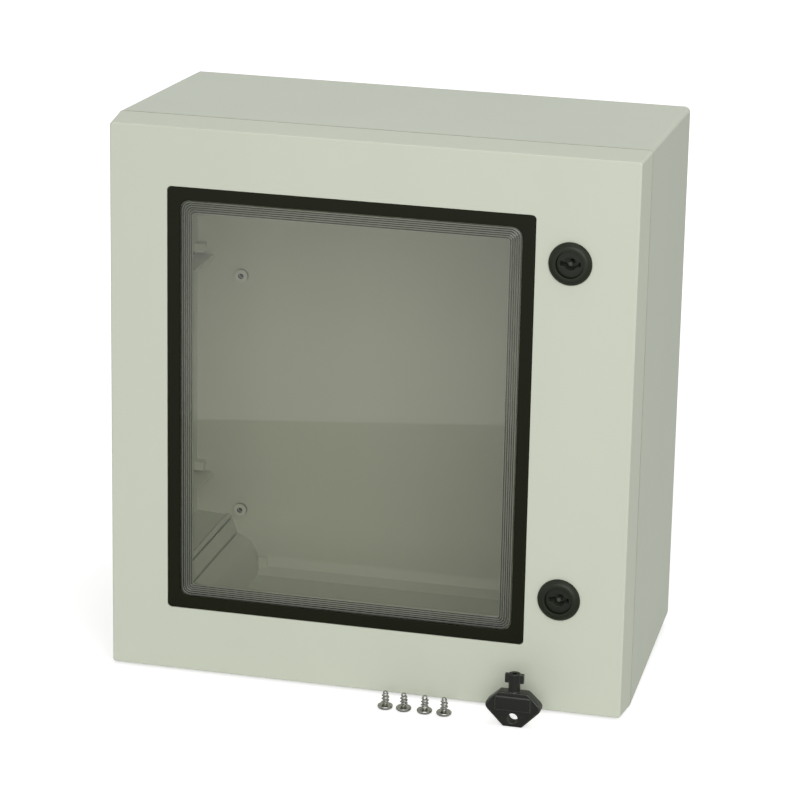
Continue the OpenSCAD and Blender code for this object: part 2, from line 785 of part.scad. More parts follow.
base();
upper_hinge_pin();
lower_hinge_pin();
upper_keeper();
lower_keeper();
keeper_screws();
door();
door_gasket();
window_frame();
window_gasket();
window_pane();
window_retainer();
retainer_screws();
upper_lock_body();
upper_lock_seal();
upper_lock_nut();
lower_lock_body();
lower_lock_seal();
lower_lock_nut();
upper_lock_core();
upper_lock_cam();
upper_cam_screw();
lower_lock_core();
lower_lock_cam();
lower_cam_screw();
key();
plate_screws();
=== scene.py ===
"""Looks of a hinged wall cabinet in polycarbonate, with a glazed door, two quarter-turn locks,
their key and the screws of the mounting plate. Sections follow the cabinet as it is put together."""

import json
import math

import bmesh
import bpy
from mathutils import Matrix, Vector

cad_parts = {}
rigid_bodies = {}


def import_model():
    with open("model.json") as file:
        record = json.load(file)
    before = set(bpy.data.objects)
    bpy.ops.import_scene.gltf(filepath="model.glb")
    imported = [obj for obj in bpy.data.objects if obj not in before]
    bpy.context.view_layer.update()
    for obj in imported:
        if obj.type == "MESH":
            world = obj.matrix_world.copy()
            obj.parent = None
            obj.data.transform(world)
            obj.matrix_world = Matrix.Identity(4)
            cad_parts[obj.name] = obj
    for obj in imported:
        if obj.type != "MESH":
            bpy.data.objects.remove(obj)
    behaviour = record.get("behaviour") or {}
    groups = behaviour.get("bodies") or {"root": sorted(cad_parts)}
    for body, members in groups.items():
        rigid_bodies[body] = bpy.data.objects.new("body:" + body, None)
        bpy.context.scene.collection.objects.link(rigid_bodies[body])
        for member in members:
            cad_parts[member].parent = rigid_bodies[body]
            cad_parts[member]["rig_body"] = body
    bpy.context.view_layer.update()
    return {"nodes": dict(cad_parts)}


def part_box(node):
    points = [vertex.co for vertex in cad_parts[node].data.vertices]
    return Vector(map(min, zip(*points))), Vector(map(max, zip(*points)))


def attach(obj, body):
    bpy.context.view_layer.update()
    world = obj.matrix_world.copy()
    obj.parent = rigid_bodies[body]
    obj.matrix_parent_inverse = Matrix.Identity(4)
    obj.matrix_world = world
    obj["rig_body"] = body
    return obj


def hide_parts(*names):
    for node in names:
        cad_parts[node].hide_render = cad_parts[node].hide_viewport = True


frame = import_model()
nodes = frame["nodes"]

# ---- Base -----------------------------------------------------------------------------------
# The base is a deep tub moulded in light grey polycarbonate. Its tool has a fine spark-eroded
# grain, so the surface is satin, and the colour drifts very slightly with the flow of the melt.


def srgb(red, green, blue):
    """An 8-bit display colour as the linear colour that a shader socket takes."""
    out = []
    for level in (red, green, blue):
        c = level / 255
        out.append(c / 12.92 if c <= 0.04045 else ((c + 0.055) / 1.055) ** 2.4)
    return (*out, 1.0)


def shader_group(name, inputs, outputs):
    """An empty node group with the named sockets, and its input and output nodes."""
    tree = bpy.data.node_groups.new(name, "ShaderNodeTree")
    for label, kind, value in inputs:
        tree.interface.new_socket(label, in_out="INPUT", socket_type=kind).default_value = value
    for label, kind in outputs:
        tree.interface.new_socket(label, in_out="OUTPUT", socket_type=kind)
    return tree, tree.nodes.new("NodeGroupInput"), tree.nodes.new("NodeGroupOutput")


def node(tree, kind, values=(), links=(), **settings):
    """A node with its settings, its fixed input values and what feeds its other inputs."""
    made = tree.nodes.new(kind)
    for key, value in settings.items():
        setattr(made, key, value)
    for key, value in dict(values).items():
        made.inputs[key].default_value = value
    for key, source in dict(links).items():
        tree.links.new(source, made.inputs[key])
    return made


NUMBER, COLOUR = "NodeSocketFloat", "NodeSocketColor"


def moulded_surface():
    """Group: a moulded plastic face, with slow colour drift, flow streaks, grain and uneven gloss."""
    tree, given, result = shader_group(
        "moulded surface",
        [
            ("Tone", COLOUR, (0.5, 0.5, 0.5, 1)),
            ("Drift Tone", COLOUR, (0.5, 0.5, 0.5, 1)),
            ("Gloss Low", NUMBER, 0.4),
            ("Gloss High", NUMBER, 0.5),
            ("Grain Scale", NUMBER, 1500.0),
        ],
        [("Tone", COLOUR), ("Roughness", NUMBER), ("Height", NUMBER)],
    )
    place = node(tree, "ShaderNodeTexCoord")
    stretch = node(tree, "ShaderNodeMapping", {"Scale": (3.0, 3.0, 0.8)}, {"Vector": place.outputs["Object"]})
    slow = node(
        tree,
        "ShaderNodeTexNoise",
        {"Scale": 2.3, "Detail": 4.0, "Roughness": 0.55},
        {"Vector": stretch.outputs[0]},
    )
    patch = node(
        tree, "ShaderNodeMapRange", {"From Min": 0.35, "From Max": 0.68}, {"Value": slow.outputs["Fac"]}
    )
    tone = node(
        tree,
        "ShaderNodeMix",
        {},
        {0: patch.outputs[0], 6: given.outputs["Tone"], 7: given.outputs["Drift Tone"]},
        data_type="RGBA",
    )
    grain = node(
        tree,
        "ShaderNodeTexNoise",
        {"Detail": 3.0, "Roughness": 0.6},
        {"Vector": place.outputs["Object"], "Scale": given.outputs["Grain Scale"]},
    )
    gloss = node(
        tree,
        "ShaderNodeMapRange",
        {"From Min": 0.3, "From Max": 0.7},
        {
            "Value": grain.outputs["Fac"],
            "To Min": given.outputs["Gloss Low"],
            "To Max": given.outputs["Gloss High"],
        },
    )
    tree.links.new(tone.outputs[2], result.inputs["Tone"])
    tree.links.new(gloss.outputs[0], result.inputs["Roughness"])
    tree.links.new(grain.outputs["Fac"], result.inputs["Height"])
    return tree


MOULDED = moulded_surface()


def place_group(tree, group, values):
    """A copy of a group in a material, with its own values."""
    made = tree.nodes.new("ShaderNodeGroup")
    made.node_tree = group
    for key, value in values.items():
        made.inputs[key].default_value = value
    return made


def new_material(name):
    """A material with its tree and its surface shader."""
    material = bpy.data.materials.new(name)
    material.use_nodes = True
    return material, material.node_tree, material.node_tree.nodes["Principled BSDF"]


def moulded_plastic(name, tone, drift, gloss, grain_scale, grain_depth, specular=0.5):
    """A moulded plastic: gloss is its lowest and highest roughness, the grain is in metres."""
    material, tree, shader = new_material(name)
    skin = place_group(
        tree,
        MOULDED,
        {
            "Tone": srgb(*tone),
            "Drift Tone": srgb(*drift),
            "Gloss Low": gloss[0],
            "Gloss High": gloss[1],
            "Grain Scale": grain_scale,
        },
    )
    bump = node(
        tree, "ShaderNodeBump", {"Strength": 0.6, "Distance": grain_depth}, {"Height": skin.outputs["Height"]}
    )
    tree.links.new(skin.outputs["Tone"], shader.inputs["Base Color"])
    tree.links.new(skin.outputs["Roughness"], shader.inputs["Roughness"])
    tree.links.new(bump.outputs[0], shader.inputs["Normal"])
    shader.inputs["Specular IOR Level"].default_value = specular
    return material


def dress(name, material):
    """Gives a CAD node one material all over."""
    slots = nodes[name].material_slots
    for slot in slots:
        slot.link = "DATA"
        slot.material = material
    if not slots:
        nodes[name].data.materials.append(material)


def weld(name):
    """A CAD node's mesh with its seams joined, as a bmesh."""
    mesh = bmesh.new()
    mesh.from_mesh(nodes[name].data)
    bmesh.ops.remove_doubles(mesh, verts=mesh.verts, dist=2e-6)
    return mesh


def settle_faces(mesh):
    """Puts the faces in the order of their centres, so that every run gives the same mesh."""
    ranked = sorted(mesh.faces, key=lambda face: tuple(face.calc_center_median()))
    rank = {face: number for number, face in enumerate(ranked)}
    mesh.faces.sort(key=lambda face: rank[face])


def to_piece(mesh, name, node_names, materials, sharp=40):
    """A bmesh as a piece that stands for CAD nodes and rides with their body."""
    data = bpy.data.meshes.new(name)
    settle_faces(mesh)
    mesh.normal_update()
    mesh.to_mesh(data)
    mesh.free()
    data.shade_smooth()
    data.set_sharp_from_angle(angle=math.radians(sharp))
    for material in materials:
        data.materials.append(material)
    piece = bpy.data.objects.new(name, data)
    bpy.context.scene.collection.objects.link(piece)
    piece.modifiers.new("flat faces stay flat", "WEIGHTED_NORMAL").keep_sharp = True
    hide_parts(*node_names)
    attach(piece, nodes[node_names[0]]["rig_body"])
    return piece


def round_edges(mesh, width, segments=2, crease=28):
    """Rounds every edge over the crease angle to a width in metres and gives the faces of the rounds."""
    edges = [e for e in mesh.edges if e.calc_face_angle() > math.radians(crease)]
    cut = bmesh.ops.bevel(mesh, geom=edges, offset=width, segments=segments, profile=0.5, affect="EDGES")
    return cut["faces"]


def soften(name, material, width, segments=2, crease=28):
    """The node's own shape with rounded edges."""
    mesh = weld(name)
    round_edges(mesh, width, segments, crease)
    return to_piece(mesh, name + "_softened", [name], [material])


BOSS_ROWS = {0.062: -0.004, 0.245: -0.0025, 0.338: 0.004}
BOSS_FROM_SIDE = 0.045
PAD_SHIFT = 0.0035
PAD_SQUASH = 0.29


def lower_bosses(mesh, half, wall_y):
    """Sets each boss as a low pad, further out, and moves its row by the lift of that row."""
    boss_r, boss_h, touch = 0.0054, 0.0145, 0.0001
    for vert in mesh.verts:
        side = math.copysign(1, vert.co.x)
        for row, lift in BOSS_ROWS.items():
            near = math.hypot(abs(vert.co.x) - half + BOSS_FROM_SIDE, vert.co.z - row) < boss_r
            if near and 0 <= wall_y - vert.co.y + touch < boss_h:
                vert.co.x += side * PAD_SHIFT
                vert.co.z += lift
                vert.co.y = wall_y - (wall_y - vert.co.y) * PAD_SQUASH
                break


def column_frame(point, half, height):
    """A point seen from its corner column: the side and end it is on, and its distances from them."""
    side = math.copysign(1, point.x)
    end = math.copysign(1, point.z - height / 2)
    return side, end, half - abs(point.x), height / 2 - abs(point.z - height / 2)


def shape_columns(mesh, half, height, wall_y):
    """Cuts a deep joint, a soft groove and a slot along each corner column, and slopes its foot.
    Places on a column's outline are distances from the side wall and from the end wall."""
    joint, bead, shoulder = (0.0336, 0.0506), (0.0294, 0.0540), (0.0424, 0.0384)
    slot = (0.0386, 0.0389)
    foot_across, foot_rise, foot_slope, foot_reach = 0.0514, 0.033, 0.33, 0.006
    dowel_across, dowel_reach, dowel_swell, dowel_shift = 0.0577, 0.0045, 1.2, 0.003
    dowel_low, dowel_high = 0.004, 0.0235
    touch = 0.0003
    shoulders = set()
    for vert in mesh.verts:
        side, end, across, rise = column_frame(vert.co, half, height)
        if math.hypot(across - joint[0], rise - joint[1]) < touch:
            vert.co.x += side * 0.0026
            vert.co.z += end * 0.0041
        if math.hypot(across - bead[0], rise - bead[1]) < touch:
            vert.co.z += end * 0.0018
        if math.hypot(across - shoulder[0], rise - shoulder[1]) < touch:
            vert.co.x += side * (shoulder[0] - slot[0])
            vert.co.z -= end * (slot[1] - shoulder[1])
            shoulders.add(vert)
        if abs(across - foot_across) < 0.0004 and rise < foot_rise:
            vert.co.x -= side * min(foot_slope * (foot_rise - rise), foot_reach)
        near_dowel = math.hypot(across - dowel_across, vert.co.y - wall_y) < dowel_reach
        if near_dowel and dowel_low < rise < dowel_high:
            swollen = dowel_swell * (dowel_across - across)
            vert.co.x = side * (half - dowel_across - dowel_shift + swollen)
    lips = [e for e in mesh.edges if e.verts[0] in shoulders and e.verts[1] in shoulders]
    slot_half, slot_touch = 0.0009, 0.00045
    cut = bmesh.ops.bevel(mesh, geom=lips, offset=slot_half, segments=2, profile=0.5, affect="EDGES")
    for vert in cut["verts"]:
        side, end, across, rise = column_frame(vert.co, half, height)
        if math.hypot(across - slot[0], rise - slot[1]) < slot_touch:
            vert.co.x += side * 0.0016
            vert.co.z += end * 0.0034


def paint_boss_light_and_shade(mesh, half, wall_y):
    """Material 1 in the pilot holes and 3 on the pads' sides, painted shade; 2 on the pads' rims, painted
    light.
    """
    pad_x = half - BOSS_FROM_SIDE + PAD_SHIFT
    hole_r, rim_r, side_r = 0.00215, 0.0048, 0.0056
    pad_h, shallow, touch = 0.00406, 0.0039, 0.0002
    mesh.normal_update()
    for face in mesh.faces:
        middle = face.calc_center_median()
        depth = wall_y - middle.y
        for row, lift in BOSS_ROWS.items():
            off = math.hypot(abs(middle.x) - pad_x, middle.z - row - lift)
            if off < hole_r and 0 < depth < shallow:
                face.material_index = 1
            if off < rim_r and abs(depth - pad_h) < touch:
                face.material_index = 2
            elif off < side_r and touch / 2 < depth < shallow and face.material_index == 0:
                face.material_index = 3


base_plastic = moulded_plastic(
    "base polycarbonate", (205, 211, 194), (201, 207, 191), (0.42, 0.55), 1400, 0.00006
)
# The pilot holes are painted darker than the plastic, as painted shade.
shadowed = moulded_plastic("pilot hole painted shade", (58, 60, 50), (50, 52, 44), (0.5, 0.6), 1400, 0.00006, 0.2)
# The rims of the pads are painted lighter than the plastic, as painted light.
boss_rim_painted_light = moulded_plastic("boss rim painted light", (216, 221, 208), (212, 217, 204), (0.5, 0.6), 1400, 0.00006, 0.4)
# The sides of the pads are painted darker than the plastic, as painted shade.
boss_side_painted_shade = moulded_plastic("boss side painted shade", (150, 153, 140), (142, 145, 133), (0.5, 0.6), 1400, 0.00006, 0.3)
base_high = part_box("base")[1]
back_wall_t = 0.004
tub = weld("base")
lower_bosses(tub, base_high[0], base_high[1] - back_wall_t)
shape_columns(tub, base_high[0], base_high[2], base_high[1] - back_wall_t)
paint_boss_light_and_shade(tub, base_high[0], base_high[1] - back_wall_t)
round_edges(tub, 0.0003)
to_piece(tub, "base_softened", ["base"], [base_plastic, shadowed, boss_rim_painted_light, boss_side_painted_shade])

# ---- Hinge pins ------------------------------------------------------------------------------
# Two drawn stainless pins with low heads stand in the knuckles on the left side. They are a
# press fit in the base, and the door turns on them.


def drawn_metal():
    """Group: plated or drawn metal, with fine lengthwise lines and a mottled gloss."""
    tree, given, result = shader_group(
        "drawn metal",
        [
            ("Tone", COLOUR, (0.5, 0.5, 0.5, 1)),
            ("Dull Tone", COLOUR, (0.4, 0.4, 0.4, 1)),
            ("Gloss Low", NUMBER, 0.2),
            ("Gloss High", NUMBER, 0.4),
            ("Mottle Scale", NUMBER, 300.0),
        ],
        [("Tone", COLOUR), ("Roughness", NUMBER), ("Height", NUMBER)],
    )
    place = node(tree, "ShaderNodeTexCoord")
    mottle = node(
        tree,
        "ShaderNodeTexNoise",
        {"Detail": 5.0, "Roughness": 0.65},
        {"Vector": place.outputs["Object"], "Scale": given.outputs["Mottle Scale"]},
    )
    spread = node(
        tree, "ShaderNodeMapRange", {"From Min": 0.35, "From Max": 0.65}, {"Value": mottle.outputs["Fac"]}
    )
    tone = node(
        tree,
        "ShaderNodeMix",
        {},
        {0: spread.outputs[0], 6: given.outputs["Tone"], 7: given.outputs["Dull Tone"]},
        data_type="RGBA",
    )
    gloss = node(
        tree,
        "ShaderNodeMapRange",
        {},
        {
            "Value": spread.outputs[0],
            "To Min": given.outputs["Gloss Low"],
            "To Max": given.outputs["Gloss High"],
        },
    )
    tree.links.new(tone.outputs[2], result.inputs["Tone"])
    tree.links.new(gloss.outputs[0], result.inputs["Roughness"])
    tree.links.new(mottle.outputs["Fac"], result.inputs["Height"])
    return tree


METAL = drawn_metal()


def metal(name, tone, dull, gloss, mottle_scale, depth=0.00002):
    """A bare or plated metal, with its lowest and highest roughness."""
    material, tree, shader = new_material(name)
    skin = place_group(
        tree,
        METAL,
        {
            "Tone": srgb(*tone),
            "Dull Tone": srgb(*dull),
            "Gloss Low": gloss[0],
            "Gloss High": gloss[1],
            "Mottle Scale": mottle_scale,
        },
    )
    bump = node(
        tree, "ShaderNodeBump", {"Strength": 0.4, "Distance": depth}, {"Height": skin.outputs["Height"]}
    )
    tree.links.new(skin.outputs["Tone"], shader.inputs["Base Color"])
    tree.links.new(skin.outputs["Roughness"], shader.inputs["Roughness"])
    tree.links.new(bump.outputs[0], shader.inputs["Normal"])
    shader.inputs["Metallic"].default_value = 1.0
    return material


pin_steel = metal("pin steel", (206, 207, 208), (188, 190, 192), (0.18, 0.30), 500)
for name in ("upper_hinge_pin", "lower_hinge_pin"):
    soften(name, pin_steel, 0.0003, 3)

# ---- Keepers ---------------------------------------------------------------------------------
# Bent steel keepers, zinc plated, catch the cams of the locks. Each is held to the inside of
# the rim by two cross-head screws.

zinc_plate = metal("zinc plate", (198, 200, 203), (176, 179, 184), (0.28, 0.45), 260)
screw_zinc = metal("screw zinc", (190, 191, 192), (160, 161, 163), (0.22, 0.40), 700)
for name in ("upper_keeper", "lower_keeper"):
    soften(name, zinc_plate, 0.0003, 3)


def islands(name):
    """The lowest and highest corner of each separate solid in a CAD node, from left to right."""
    mesh = weld(name)
    left = set(mesh.verts)
    boxes = []
    while left:
        group = [left.pop()]
        for vert in group:
            near = [e.other_vert(vert) for e in vert.link_edges]
            fresh = [v for v in near if v in left]
            left.difference_update(fresh)
            group.extend(fresh)
        low = Vector([min(v.co[k] for v in group) for k in range(3)])
        high = Vector([max(v.co[k] for v in group) for k in range(3)])
        boxes.append((low, high))
    mesh.free()
    return sorted(boxes, key=lambda box: tuple(box[0]))


def ring_points(mesh, radius, height, steps):
    """A ring of points about the local Z axis."""
    turns = [2 * math.pi * k / steps for k in range(steps)]
    return [mesh.verts.new((radius * math.cos(a), radius * math.sin(a), height)) for a in turns]


def join_rings(mesh, lower, upper):
    """Quads between two rings with the same number of points."""
    for k, point in enumerate(lower):
        after = (k + 1) % len(lower)
        mesh.faces.new((point, lower[after], upper[after], upper[k]))


def cross_head(mesh, radius, height, shank_r, shank_l, washer=(0, 0)):
    """A pan-head screw along local Z with a cross recess, its seat at height 0, and a washer under it."""
    steps = 32
    rows = [(shank_r * 0.8, -shank_l), (shank_r, -shank_l + shank_r * 0.3), (shank_r, 0)]
    if washer[0]:
        rows += [(washer[0], 0), (washer[0], washer[1])]
    seat = washer[1]
    dome = [(1.0, 0.0), (1.0, 0.42), (0.95, 0.70), (0.84, 0.90), (0.70, 1.0)]
    rows += [(radius * r, seat + (height - seat) * z) for r, z in dome]
    rings = [ring_points(mesh, r, z, steps) for r, z in rows]
    for lower, upper in zip(rings, rings[1:]):
        join_rings(mesh, lower, upper)
    mesh.faces.new(reversed(rings[0]))
    arm, half = 0.56 * radius, 0.13 * radius
    corners = []
    for quarter in range(4):
        a = math.pi / 2 * quarter
        for x, y in ((half, half), (half, arm), (-half, arm)):
            corners.append((x * math.cos(a) - y * math.sin(a), x * math.sin(a) + y * math.cos(a)))
    brim = [mesh.verts.new((x, y, height)) for x, y in corners]
    sole = [mesh.verts.new((0.75 * x, 0.75 * y, height - 0.55 * radius)) for x, y in corners]
    join_rings(mesh, sole, brim)
    mesh.faces.new(sole)
    edges = [mesh.edges.get((loop[k], loop[k - 1])) or mesh.edges.new((loop[k], loop[k - 1]))
             for loop in (rings[-1], brim) for k in range(len(loop))]
    bmesh.ops.triangle_fill(mesh, edges=edges, use_beauty=True, normal=(0, 0, 1))


def screws(name, material, aim, shank_r, head_t, washer_t=0.0):
    """Cross-head screws in place of the plain ones of a CAD node, with heads towards aim."""
    aim = Vector(aim)
    turn = aim.to_track_quat("Z", "X").to_matrix().to_4x4()
    axis = max(range(3), key=lambda k: abs(aim[k]))
    side = (axis + 1) % 3
    mesh = bmesh.new()
    for number, (low, high) in enumerate(islands(name)):
        face = high[axis] if aim[axis] > 0 else low[axis]
        seat = (low + high) / 2
        seat[axis] = face - aim[axis] * (head_t + washer_t)
        wide = (high[side] - low[side]) / 2
        washer = (wide, washer_t) if washer_t else (0, 0)
        radius = 0.5 * wide + 0.0003 if washer_t else wide
        fresh = bmesh.new()
        shank_l = high[axis] - low[axis] - head_t - washer_t
        cross_head(fresh, radius, head_t + washer_t, shank_r, shank_l, washer)
        spin = Matrix.Rotation(0.7 * number + 0.3, 4, "Z")
        fresh.transform(Matrix.Translation(seat) @ turn @ spin)
        part = bpy.data.meshes.new("part")
        fresh.to_mesh(part)
        fresh.free()
        mesh.from_mesh(part)
    bmesh.ops.recalc_face_normals(mesh, faces=mesh.faces)
    return to_piece(mesh, name + "_with_recesses", [name], [material])


screws("keeper_screws", screw_zinc, (-1, 0, 0), 0.00145, 0.002)

# ---- Door ------------------------------------------------------------------------------------
# The door is moulded in the same polycarbonate with a slightly coarser grain on its face. It
# hangs on the two pins.

door_plastic = moulded_plastic(
    "door polycarbonate", (207, 212, 195), (204, 209, 192), (0.40, 0.52), 1200, 0.00007
)
soften("door", door_plastic, 0.0003)

# ---- Door gasket -----------------------------------------------------------------------------
# A strip of foamed polyurethane is cast in the door's channel, and closes on the base's collar.
# It is soft and dull, with a fine open surface.

foam = moulded_plastic("foamed seal", (62, 62, 64), (52, 52, 54), (0.75, 0.9), 2600, 0.0002, 0.2)
soften("door_gasket", foam, 0.0018, 4)

# ---- Window frame ----------------------------------------------------------------------------
# The frame is a satin black moulding set in a rebate of the door, round the opening. It is
# held from behind by the retainer.

frame_black = moulded_plastic("frame black", (22, 24, 8), (18, 20, 6), (0.34, 0.46), 1600, 0.00004, 0.13)
soften("window_frame", frame_black, 0.0004, 3)

# ---- Window gasket and retainer ---------------------------------------------------------------
# A rubber ring lies under the pane's edge and seals it to the frame. A satin black ring behind
# holds both, with twelve cross-head screws into the door.

seal_rubber = moulded_plastic("seal rubber", (28, 28, 28), (34, 34, 34), (0.6, 0.8), 2000, 0.00008, 0.3)
retainer_black = moulded_plastic(
    "retainer black", (30, 30, 30), (35, 35, 35), (0.4, 0.55), 1500, 0.00005, 0.3
)
dress("window_gasket", seal_rubber)
soften("window_retainer", retainer_black, 0.0004)
screws("retainer_screws", screw_zinc, (0, 1, 0), 0.0014, 0.0018)

# ---- Pane ------------------------------------------------------------------------------------
# The pane is clear polycarbonate with fine frosted grooves round its field. The lands between
# them are painted darker, as painted shade, and the rest is faintly grey in its thickness.


def clear_plastic(name, gloss, frost, tint=(0.87, 0.88, 0.83, 1)):
    """Clear plastic for sight and gloss, and frost is the share that scatters light in its surface.
    Lamps and soft light pass straight through it to the inside."""
    material, tree, shader = new_material(name)
    place = node(tree, "ShaderNodeTexCoord")
    smear = node(
        tree, "ShaderNodeTexNoise", {"Scale": 9.0, "Detail": 3.0}, {"Vector": place.outputs["Object"]}
    )
    haze = node(
        tree,
        "ShaderNodeMapRange",
        {"From Min": 0.4, "From Max": 0.75, "To Min": gloss[0], "To Max": gloss[1]},
        {"Value": smear.outputs["Fac"]},
    )
    tree.links.new(haze.outputs[0], shader.inputs["Roughness"])
    shader.inputs["Base Color"].default_value = tint
    shader.inputs["Transmission Weight"].default_value = 1.0 - frost
    shader.inputs["IOR"].default_value = 1.585
    through = node(tree, "ShaderNodeBsdfTransparent", {"Color": (0.75, 0.735, 0.70, 1)})
    path = node(tree, "ShaderNodeLightPath")
    soft_ray = node(
        tree,
        "ShaderNodeMath",
        {},
        {0: path.outputs["Is Shadow Ray"], 1: path.outputs["Is Diffuse Ray"]},
        operation="MAXIMUM",
    )
    both = node(
        tree, "ShaderNodeMixShader", {}, {0: soft_ray.outputs[0], 1: shader.outputs[0], 2: through.outputs[0]}
    )
    tree.links.new(both.outputs[0], tree.nodes["Material Output"].inputs["Surface"])
    return material


pane = weld("window_pane")
pane_low, pane_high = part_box("window_pane")
skin_deep, groove_deep = 0.00005, 0.0005
grooved_to = 0.0125
for face in pane.faces:
    middle = face.calc_center_median()
    depth = middle.y - pane_low[1]
    from_sides = min(middle.x - pane_low[0], pane_high[0] - middle.x)
    inset = min(from_sides, middle.z - pane_low[2], pane_high[2] - middle.z)
    if skin_deep < depth < groove_deep:
        face.material_index = 1
    # The flat lands round the field take a darker clear, painted shade.
    elif depth < skin_deep and inset < grooved_to:
        face.material_index = 2
clear = clear_plastic("clear polycarbonate", (0.0, 0.012), 0.0)
frosted = clear_plastic("frosted groove", (0.3, 0.45), 0.12, (0.60, 0.61, 0.57, 1))
# The lands' dark tint is painted shade.
land_painted_shade = clear_plastic("land between grooves painted shade", (0.02, 0.05), 0.0, (0.17, 0.175, 0.16, 1))
to_piece(pane, "grooved_pane", ["window_pane"], [clear, frosted, land_painted_shade])

# ---- Locks -----------------------------------------------------------------------------------
# Each lock has a black moulded body with a seal under its bezel, and a nut behind the door's
# skin. Its core takes the key in a dark socket, and turns a zinc-plated cam on a washered screw.

lock_black = moulded_plastic("lock black", (31, 36, 22), (25, 29, 16), (0.32, 0.45), 1800, 0.00004, 0.24)
core_black = moulded_plastic("core black", (29, 33, 23), (24, 28, 18), (0.34, 0.46), 1800, 0.00004, 0.25)
# The inside of the key socket is painted lighter than the core, painted light against its shade.
socket_painted_light = moulded_plastic("socket painted lighter", (68, 71, 61), (60, 64, 54), (0.4, 0.5), 1800, 0.00004, 0.3)


def lock_core(name):
    """The core with its face set back in the bezel, and its key socket's inside painted lighter, as painted
    light.
    """
    mesh = weld(name)
    low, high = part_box(name)
    middle = (Vector(low) + Vector(high)) / 2
    set_back, face_t = 0.0018, 0.0012
    socket_r, socket_deep, touch = 0.0074, 0.0135, 0.0001
    for vert in mesh.verts:
        if vert.co.y < low[1] + face_t:
            vert.co.y += set_back
    round_edges(mesh, 0.0002)
    mesh.normal_update()
    for face in mesh.faces:
        spot = face.calc_center_median()
        inside = math.hypot(spot.x - middle.x, spot.z - middle.z) < socket_r
        if inside and low[1] + set_back + touch < spot.y < low[1] + socket_deep:
            face.material_index = 1
    to_piece(mesh, name + "_softened", [name], [core_black, socket_painted_light])


for level in ("upper", "lower"):
    soften(level + "_lock_body", lock_black, 0.0003, 2, 40)
    dress(level + "_lock_seal", seal_rubber)
    soften(level + "_lock_nut", zinc_plate, 0.0004)
    lock_core(level + "_lock_core")
    soften(level + "_lock_cam", zinc_plate, 0.0003, 3)
    screws(level + "_cam_screw", screw_zinc, (0, 1, 0), 0.0019, 0.0028, 0.001)

# ---- Key -------------------------------------------------------------------------------------
# The double-bit key is moulded in black glass-filled nylon. Its rounded edges are painted lighter
# than its faces, a painted highlight, and the eye for a ring goes right through the grip.

key_nylon = moulded_plastic("key nylon", (23, 25, 19), (18, 20, 15), (0.30, 0.44), 1300, 0.00008, 0.35)
key_edge_highlight = moulded_plastic("key edge painted highlight", (46, 49, 41), (39, 42, 35), (0.24, 0.34), 1300, 0.00004, 0.5)
key_mesh = weld("key")
key_low, key_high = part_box("key")
eye_x, eye_z = (key_low[0] + key_high[0]) / 2, 0.00635
eye_r, eye_growth = 0.0031, 1.3
for vert in key_mesh.verts:
    aside, above = vert.co.x - eye_x, vert.co.z - eye_z
    if math.hypot(aside, above) < eye_r:
        vert.co.x = eye_x + eye_growth * aside
        vert.co.z = eye_z + eye_growth * above
# The rounds of the edges take the lighter tone, a painted highlight.
for face in round_edges(key_mesh, 0.0004, 3):
    face.material_index = 1
to_piece(key_mesh, "key_softened", ["key"], [key_nylon, key_edge_highlight])

# ---- Plate screws ----------------------------------------------------------------------------
# Four thread-forming screws for the mounting plate, zinc plated, stand loose on their heads.
# Their threads are rolled, with sharp crests on a thinner core.


def thread_forming(mesh, length, head_r, thread_r, pitch):
    """A screw on its head along Z: a flanged pan head, and a sharp thread rolled on a thinner core."""
    steps = 48
    core_r = 0.60 * thread_r
    head_t = 0.0026
    dome = [(0.55, 0.0), (0.80, 0.10), (0.94, 0.32), (1.0, 0.58), (1.0, 0.84), (0.95, 1.0)]
    rows = [(head_r * r, head_t * z, 0) for r, z in dome]
    rows += [(0.62 * head_r, head_t * 1.10, 0), (core_r * 1.25, head_t * 1.18, 0)]
    start, end = head_t * 1.3, length - 0.0008
    count = round((end - start) / pitch * 14)
    for k in range(count + 1):
        z = start + (end - start) * k / count
        rows.append((core_r, z, min(1.0, k / 8, (count - k) / 16)))
    rows += [(core_r * 0.8, length - 0.0003, 0), (core_r * 0.45, length, 0)]
    rings = []
    for radius, z, thread in rows:
        ring = ring_points(mesh, radius, z, steps)
        for k, point in enumerate(ring):
            phase = (z / pitch - k / steps) % 1
            crest = max(0.0, 1 - abs(phase - 0.5) / 0.34)
            grow = 1 + thread * crest * (thread_r - core_r) / radius
            point.co.x *= grow
            point.co.y *= grow
        rings.append(ring)
    for lower, upper in zip(rings, rings[1:]):
        join_rings(mesh, lower, upper)
    mesh.faces.new(reversed(rings[0]))
    mesh.faces.new(rings[-1])


kit = bmesh.new()
for number, (low, high) in enumerate(islands("plate_screws")):
    one = bmesh.new()
    size = high - low
    thread_forming(one, size.z, size.x / 2, 0.0029, 0.0024)
    middle = (low + high) / 2
    one.transform(Matrix.Translation((middle.x, middle.y, low.z)) @ Matrix.Rotation(1.9 * number, 4, "Z"))
    part = bpy.data.meshes.new("part")
    one.to_mesh(part)
    one.free()
    kit.from_mesh(part)
kit_zinc = metal("kit zinc", (172, 172, 167), (136, 136, 131), (0.16, 0.30), 700)
to_piece(kit, "threaded_plate_screws", ["plate_screws"], [kit_zinc], 50)

# ---- Studio ----------------------------------------------------------------------------------
# A pale floor sheet under soft lamps, and the camera. The sheet reads brighter to the camera
# the further it is from the cabinet, so that the shadow near the cabinet stays.

scene = bpy.context.scene
scene.view_settings.view_transform = "Standard"

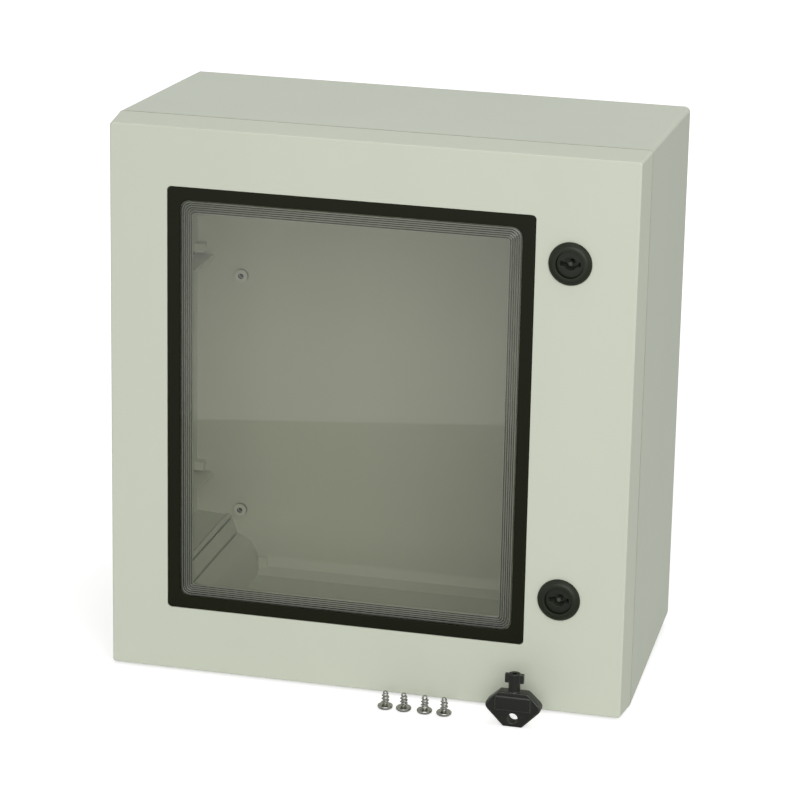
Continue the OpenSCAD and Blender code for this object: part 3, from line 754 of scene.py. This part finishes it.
camera = bpy.data.objects.new("camera", bpy.data.cameras.new("camera"))
scene.collection.objects.link(camera)
scene.camera = camera
camera.data.sensor_width = 36
camera.data.lens = 156.18
turn, dip, roll = (math.radians(a) for a in (13.86, 17.54, 1.12))
ahead = Vector((-math.sin(turn) * math.cos(dip), math.cos(turn) * math.cos(dip), -math.sin(dip)))
level_right = ahead.cross(Vector((0, 0, 1))).normalized()
level_up = level_right.cross(ahead)
right = math.cos(roll) * level_right + math.sin(roll) * level_up
up = -math.sin(roll) * level_right + math.cos(roll) * level_up
aim = Matrix((right, up, -ahead)).transposed().to_4x4()
camera.matrix_world = Matrix.Translation((0.5669, -2.3007, 0.9355)) @ aim

floor_mesh = bpy.data.meshes.new("floor")
front = Vector((-0.165, -0.69))
along = Vector((math.cos(turn), -math.sin(turn)))
edge = [front - 4 * along, front + 4 * along]
floor_mesh.from_pydata(
    [(*edge[0], 0), (*edge[1], 0), (edge[1].x, 4, 0), (edge[0].x, 4, 0)], [], [(0, 1, 2, 3)]
)
floor = bpy.data.objects.new("floor", floor_mesh)
floor.location.z = -0.0002
scene.collection.objects.link(floor)
sheet, tree, shader = new_material("studio paper")
shader.inputs["Base Color"].default_value = (0.8, 0.8, 0.8, 1)
shader.inputs["Roughness"].default_value = 0.9
shader.inputs["Specular IOR Level"].default_value = 0.0
path = node(tree, "ShaderNodeLightPath")
place = node(tree, "ShaderNodeTexCoord")
away = node(tree, "ShaderNodeVectorMath", {}, {0: place.outputs["Object"]}, operation="LENGTH")
fade = node(
    tree,
    "ShaderNodeMapRange",
    {"From Min": 0.35, "From Max": 1.3, "To Min": 0.58, "To Max": 0.85},
    {"Value": away.outputs["Value"]},
)
lift = node(
    tree, "ShaderNodeMath", {}, {0: path.outputs["Is Camera Ray"], 1: fade.outputs[0]}, operation="MULTIPLY"
)
shader.inputs["Emission Color"].default_value = (1, 1, 1, 1)
tree.links.new(lift.outputs[0], shader.inputs["Emission Strength"])
floor_mesh.materials.append(sheet)

world = bpy.data.worlds.new("studio")
scene.world = world
world.use_nodes = True
tree = world.node_tree
path = node(tree, "ShaderNodeLightPath")
seen = node(
    tree,
    "ShaderNodeMath",
    {},
    {0: path.outputs["Is Camera Ray"], 1: path.outputs["Is Transmission Ray"]},
    operation="MAXIMUM",
)
shown = node(
    tree, "ShaderNodeMath", {}, {0: seen.outputs[0], 1: path.outputs["Is Glossy Ray"]}, operation="MAXIMUM"
)
strength = node(tree, "ShaderNodeMapRange", {"To Min": 0.30, "To Max": 1.0}, {"Value": shown.outputs[0]})
tree.links.new(strength.outputs[0], tree.nodes["Background"].inputs["Strength"])
tree.nodes["Background"].inputs["Color"].default_value = (1, 1, 1, 1)


def soft_lamp(name, place, target, size, power):
    """A square soft lamp, turned to a target."""
    light = bpy.data.lights.new(name, "AREA")
    light.shape = "SQUARE"
    light.size = size
    light.energy = power
    lamp = bpy.data.objects.new(name, light)
    lamp.location = place
    lamp.rotation_euler = (Vector(target) - Vector(place)).to_track_quat("-Z", "Y").to_euler()
    scene.collection.objects.link(lamp)


soft_lamp("key lamp", (0.75, -2.55, 1.15), (0, 0, 0.2), 2.2, 50)
soft_lamp("top lamp", (0.2, 0.1, 2.6), (0, 0, 0.2), 1.8, 14)
soft_lamp("side lamp", (2.6, -0.1, 0.9), (0, 0, 0.2), 1.4, 6)
